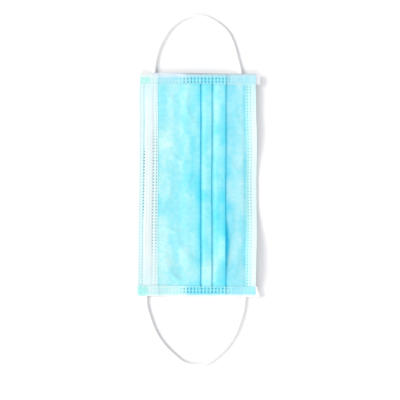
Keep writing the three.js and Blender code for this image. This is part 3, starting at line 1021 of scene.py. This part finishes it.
def make_wire():
    """A flat strip with a ridge over each of the two steel wires in it."""
    middle = (wire_low[0] + wire_high[0]) / 2
    half = (wire_high[0] - wire_low[0]) / 2
    across = np.linspace(-half, half, WIRE_POINTS)
    off = (np.abs(across) - half * WIRE_RIDGE["at"]) / WIRE_RIDGE["wide"]
    ridge = WIRE_RIDGE["up"] * np.exp(-(off**2))
    thick = WIRE_THICK * np.sqrt(np.clip(1 - (across / half) ** 10, 0, 1)) + WIRE_EDGE
    level = LAMINATE + PLY_GAP + WIRE_LIFT
    ring_x = np.concatenate([across, across[::-1]]) + middle
    ring_z = np.concatenate([level + thick + ridge, (level - thick)[::-1]])
    rows = np.arange(wire_low[1], wire_high[1] + 0.01, ROW_STEP)
    rings = [place(ring_x, ring_z, np.full(len(ring_x), y)) for y in rows]
    return ring_object("nose_wire_strip", np.array(rings), plastic)


def ring_object(name, rings, material):
    """A closed body through rings of points, with a flat cap at each end."""
    count, around = rings.shape[:2]
    caps = rings[[0, -1]].mean(axis=1)
    vertices = np.concatenate([rings.reshape(-1, 3), caps])
    here = np.arange(around)
    after = (here + 1) % around
    first = len(vertices) - 2
    last = (count - 1) * around
    start = np.stack([after, here, np.full(around, first)], axis=-1)
    end = np.stack([here + last, after + last, np.full(around, first + 1)], axis=-1)
    faces = grid_faces(count, around, wrap=True).tolist() + start.tolist() + end.tolist()
    return make_object(name, vertices, faces, material, sharp=60)


wire = make_wire()


# End bindings. A binding bridges the steps of the pleats, but less so along its inner edge: the
# spreads are how many steps to each side its height is taken from.
STACK_STEP = 0.25
STACK_PAST_END = 4
STACK_REACH = 0.15
STACK_SPREAD = 4
SNUG_SPREAD = 2


def stack_top(wide):
    """The height of the pressed layers' top along X, as two arrays."""
    places = np.arange(NOSE_EDGE - STACK_PAST_END, CHIN_EDGE + STACK_PAST_END, STACK_STEP)
    top = np.full(len(places), LAMINATE / 2)
    for section in (cover_section, lining_section):
        path = section(SHEET_HALF)
        for a, b in zip(path[:-1], path[1:]):
            above = places >= min(a[0], b[0]) - STACK_REACH
            above = above & (places <= max(a[0], b[0]) + STACK_REACH)
            top[above] = np.maximum(top[above], max(a[1], b[1]) + WEB / 2)
    spread = np.array([top[max(0, i - wide):i + wide + 1].max() for i in range(len(top))])
    kernel = np.ones(2 * wide + 1) / (2 * wide + 1)
    soft = np.convolve(np.pad(spread, wide, mode="edge"), kernel, mode="valid")
    return places, soft


STACK_X, STACK_TOP = stack_top(STACK_SPREAD)
SNUG_TOP = stack_top(SNUG_SPREAD)[1]
# The inner edge follows the pleats closely over this width
SNUG_SPAN = (0.2, 2.2)
BINDING_STEP = 0.25
BINDING_ROW = 0.42
BINDING_AIR = 0.08
# The turn round the outer edge
TURN_INSET = 0.75
TURN_RADIUS = 0.6
TURN_POINTS = 9
# From the lip's start outwards the two layers are pressed together by this share
LIP_START = 84.9
LIP_FULL = 0.4
LIP_PINCH = 0.72
# Beyond the sheet's two edges they are pressed together by this share
FREE_PINCH = 0.82
FREE_NOSE_SPAN = (-1.0, 0.6)
FREE_CHIN_SPAN = (-1.0, 1.2)
# How much narrower a binding is than its node at the outer edge, and how much shorter at the nose
END_TRIM = {"left": 0.6, "right": 1.0}
NOSE_TRIM = {"left": 0.2, "right": 0.8}
# How far it runs past the chin edge, and how much less of that there is towards its inner edge
CHIN_OVERHANG = {"left": 0.8, "right": 1.8}
CHIN_TAPER = {"left": 0, "right": 1.6}
TAPER_LENGTH = 3
# How far one end lies further out than the other
END_TILT = {"left": 0.9, "right": 0.7}
TILT_SPAN = (-28, 34)
# The rounded outer corner at the nose end
NOSE_ROUND = {"left": 0.3, "right": 1.6}
ROUND_SPAN = (-3.5, 1.5)
ROUND_LENGTH = 7


def make_binding(side):
    """The web folded round one end, from its raw edge above to its raw edge below."""
    sign = SIDES[side]
    low, high = node_box(f"{side}_end_binding")
    x = np.arange(low[0] + NOSE_TRIM[side], high[0] + CHIN_OVERHANG[side] + 0.01, BINDING_STEP)
    top = np.interp(x, STACK_X, STACK_TOP) + BINDING_AIR + WEB / 2
    snug = np.interp(x, STACK_X, SNUG_TOP) - np.interp(x, STACK_X, STACK_TOP)
    bottom = np.full(len(x), -BINDING_AIR - WEB / 2)
    beyond = smooth_from(CHIN_EDGE, FREE_CHIN_SPAN, x) + 1
    beyond = beyond - smooth_from(NOSE_EDGE, FREE_NOSE_SPAN, x)
    beyond = FREE_PINCH * np.clip(beyond, 0, 1)
    middle = (top + bottom) / 2
    top = top + (middle - top) * beyond
    bottom = bottom + (middle - bottom) * beyond
    bend = HALF - TURN_INSET
    out = np.concatenate([np.arange(BINDING_START, bend, BINDING_ROW), [bend]])
    angle = np.radians(np.linspace(90, -90, TURN_POINTS))[1:-1]
    grids = []
    for half in (WEB / 2, -WEB / 2):
        pinch = LIP_PINCH * smooth(LIP_START, HALF - LIP_FULL, out)
        edge = 1 - smooth_from(BINDING_START, SNUG_SPAN, out)
        upper = top[:, None] + snug[:, None] * edge + (middle - top)[:, None] * pinch + half
        lower = bottom[:, None] + (middle - bottom)[:, None] * pinch - half
        reach = (upper[:, -1] - lower[:, -1]) / 2
        turn_y = bend + (TURN_RADIUS + half) * np.cos(angle)
        turn_z = middle[:, None] + reach[:, None] * np.sin(angle)
        y = np.concatenate([out, turn_y, out[::-1]])
        z = np.concatenate([upper, turn_z, lower[:, ::-1]], axis=1)
        grid_x = np.repeat(x[:, None], len(y), axis=1)
        pulled = y - END_TRIM[side] * smooth(LIP_START - 1, bend, y)
        tilt = END_TILT[side] * (1 - smooth(*TILT_SPAN, sign * x))
        grid_y = sign * (pulled[None, :] + tilt[:, None])
        taper = CHIN_TAPER[side] * (1 - smooth(BINDING_START, HALF - 1, y))
        grid_x = grid_x - taper[None, :] * smooth(CHIN_EDGE - TAPER_LENGTH, x[-1], x)[:, None]
        rounded = NOSE_ROUND[side] * smooth_from(HALF, ROUND_SPAN, y)
        grid_x = grid_x + rounded[None, :] * (1 - smooth(x[0], x[0] + ROUND_LENGTH, x))[:, None]
        grids.append((grid_x, grid_y, z))
    placed = [place(grid_x, z, grid_y) for grid_x, grid_y, z in grids]
    if sign > 0:
        placed.reverse()
    made = wall_object(f"{side}_binding", placed[0], placed[1], binding_web)
    grid_x, grid_y, z = grids[0]
    cloth = np.stack([grid_x, grid_y, grid_x + 0 * z], axis=-1)
    store_cloth(made, cloth, binding_colour(grid_x, grid_y, z), end_weld_strength(grid_x, grid_y))
    return made


bindings = {side: make_binding(side) for side in SIDES}


# Ear loops
CORD_END_RISE = 0.42
CORD_RIB = 0.05
CORD_COLUMNS = 8


def store_knit(made, shape, length, column):
    """Stores the distance along a cord and the column of stitches for its rings and two caps."""
    cloth = np.zeros(shape)
    cloth[..., 0] = length[:, None]
    cloth[..., 1] = column
    caps = np.array([[length[0], 0, 0], [length[-1], 0, 0]])
    add_values(made, "cloth", "FLOAT_VECTOR", np.concatenate([cloth.reshape(-1, 3), caps]))


def curve_through(points, step):
    """Points a step apart on a smooth curve through the given ones."""
    points = np.array(points, dtype=float)
    points = np.vstack([2 * points[0] - points[1], points, 2 * points[-1] - points[-2]])
    found = []
    for a, b, c, d in zip(points[:-3], points[1:-2], points[2:-1], points[3:]):
        t = np.linspace(0, 1, 41)[:-1, None]
        bend = 2 * a - 5 * b + 4 * c - d + t * (3 * (b - c) + d - a)
        found.append(b + 0.5 * t * (c - a + t * bend))
    line = np.vstack(found + [points[-2:-1]])
    length = distances(line)
    even = np.linspace(0, length[-1], round(length[-1] / step) + 1)
    return np.stack([np.interp(even, length, line[:, k]) for k in range(line.shape[1])], axis=-1)


def make_loop(side):
    """A round knitted cord that lies on the floor and flattens below the binding at both ends."""
    sign = SIDES[side]
    route = [(x + CORD_SHIFT, y, CORD / 2) for x, y in ROUTES[side]]
    inside = HALF - CORD_FLAT_LENGTH
    start, end = [(route[k][0], sign * inside, CORD / 2) for k in (0, -1)]
    route = [start] + route + [end]
    line = curve_through(route, CORD_RING_STEP)
    flat = 1 - smooth(inside + 0.3, HALF - 0.1, np.abs(line[:, 1]))
    line[:, 2] += CORD_END_RISE * flat
    tangent = unit(np.gradient(line, axis=0))
    aside = unit(np.cross(tangent, [0, 0, 1]))
    over = np.cross(aside, tangent)
    angle = np.arange(CORD_ROUND) * math.tau / CORD_ROUND
    ribs = 1 - CORD_RIB * (0.5 + 0.5 * np.cos(angle * CORD_COLUMNS))
    half_wide = (CORD / 2 + (FLAT_WIDTH - CORD) / 2 * flat)[:, None] * ribs
    half_high = (CORD / 2 + (FLAT_HEIGHT - CORD) / 2 * flat)[:, None] * ribs
    rings = (
        line[:, None]
        + aside[:, None] * (half_wide * np.cos(angle))[..., None]
        + over[:, None] * (half_high * np.sin(angle))[..., None]
    )
    made = ring_object(f"{side}_loop_cord", rings, elastic)
    length = distances(line)
    store_knit(made, rings.shape, length, np.abs(angle - math.pi) * CORD_COLUMNS / math.tau)
    return made, line, length[-1]


loops = {side: make_loop(side) for side in SIDES}


# Welded ends of the elastic
PAD_RINGS = 34
PAD_ROUND = 32
PAD_END = 1.2
PAD_WIDER = 0.5
PAD_SQUARE = 0.6
DENT_DEPTH = 0.3
DENT_PITCH = 1.3


def make_pad(side, end):
    """The flattened end of the elastic below a binding, with the dents of the welding tool."""
    sign = SIDES[side]
    low, high = node_box(f"{side}_{end}_weld")
    middle = (low[0] + high[0]) / 2
    inner = min(abs(low[1]), abs(high[1]))
    outer = HALF - CORD_FLAT_LENGTH
    along = np.linspace(inner, outer, PAD_RINGS)
    angle = np.arange(PAD_ROUND) * math.tau / PAD_ROUND
    from_end = ((inner + PAD_END - along) / PAD_END).clip(0, 1)
    round_off = np.sqrt(np.clip(1 - from_end**2, 0.02, 1))
    spread = FLAT_WIDTH / 2 + PAD_WIDER * smooth(outer, outer - 1.5, along)
    level = CORD / 2 + CORD_END_RISE
    square = lambda value: np.sign(value) * np.abs(value) ** PAD_SQUARE
    x = middle + (spread * round_off)[:, None] * square(np.cos(angle))
    turns = (along - inner) * math.tau / DENT_PITCH
    dent = 1 - DENT_DEPTH * (0.5 + 0.5 * np.cos(turns))[:, None]
    dent = dent * (1 - 0.12 * np.cos(CORD_COLUMNS * angle))
    z = level + FLAT_HEIGHT / 2 * dent * square(np.sin(angle)) * (0.5 + 0.5 * round_off[:, None])
    y = np.repeat(sign * along[:, None], len(angle), axis=1)
    rings = np.stack([x, y, z], axis=-1)
    if sign < 0:
        rings = rings[:, ::-1]
    made = ring_object(f"{side}_{end}_weld_pad", rings, elastic)
    store_knit(made, rings.shape, along, angle * CORD_COLUMNS / math.tau)
    return made


pads = {f"{side}_{end}_weld": make_pad(side, end) for side in SIDES for end in ("nose", "chin")}


# What each piece stands for
def flat_size(section):
    """Width and length of the piece of cloth that a web is folded from, in metres."""
    return (float(distances(section(0.0))[-1]) * MM, 2 * SHEET_HALF * MM)


def declare(piece, slot, *nodes):
    """Attaches a piece to the one rigid body and hides the CAD nodes that it stands for; slot, its
    finish, is not used.
    """
    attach(piece, "root")
    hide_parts(*nodes)


declare(cover, "outer_web", "pleated_body")
declare(lining, "inner_web", "nose_hem", "chin_hem")
declare(wire, "nose_wire", "nose_wire")
flat_size(cover_section)
flat_size(lining_section)
for side, binding in bindings.items():
    node = f"{side}_end_binding"
    declare(binding, "binding_web", node)
for side, (loop, line, length) in loops.items():
    node = f"{side}_ear_loop"
    declare(loop, "elastic", node)
for node, pad in pads.items():
    declare(pad, "elastic", node)


# Floor, light and camera. Suns: name, share of the light on a level surface, turn from -X towards
# +Y, height and softness, in degrees.
FLOOR_SIZE = 3.0
SUNS = [("key", 0.31, 12, 37, 32), ("fill", 0.17, -84, 35, 50)]
SUN_COLOUR = (1.06, 1.0, 0.94)
SKY_COLOUR = (0.945, 0.99, 1.06, 1)
FLOOR_COLOUR = (0.87, 0.87, 0.87, 1)
VIEW_HEIGHT = 3.5
VIEW_END = 10


def make_floor():
    """A large white floor."""
    bpy.ops.mesh.primitive_plane_add(size=FLOOR_SIZE)
    floor = bpy.context.object
    floor.name = "floor"
    values = {"Base Color": FLOOR_COLOUR, "Roughness": 0.95, "Specular IOR Level": 0}
    floor.data.materials.append(fresh_material("white_floor", values)[0])


def make_light():
    """A soft key light from the nose edge's side, a softer one from the right end, and a sky."""
    left_over = 1
    for name, share, turn, high, soft in SUNS:
        sun = bpy.data.lights.new(name, "SUN")
        height = math.radians(high)
        sun.energy = share * LIGHT * math.pi / math.sin(height)
        sun.angle = math.radians(soft)
        sun.color = SUN_COLOUR
        lamp = new_object(name, sun)
        lamp.rotation_euler = (0, height - math.pi / 2, -math.radians(turn))
        left_over -= share
    world = bpy.data.worlds.new("sky")
    world.use_nodes = True
    background = world.node_tree.nodes["Background"]
    background.inputs["Color"].default_value = SKY_COLOUR
    background.inputs["Strength"].default_value = LIGHT * left_over
    bpy.context.scene.world = world


def make_camera():
    """A long lens, straight above the mask."""
    data = bpy.data.cameras.new("camera")
    data.lens = LENS
    data.sensor_width = SENSOR
    data.clip_end = VIEW_END
    camera = new_object("camera", data)
    camera.location = (VIEW_X * MM, VIEW_Y * MM, (LENS / SENSOR * VIEW_WIDTH + VIEW_HEIGHT) * MM)
    bpy.context.scene.camera = camera


make_floor()
make_light()
make_camera()
bpy.context.scene.view_settings.view_transform = "Standard"
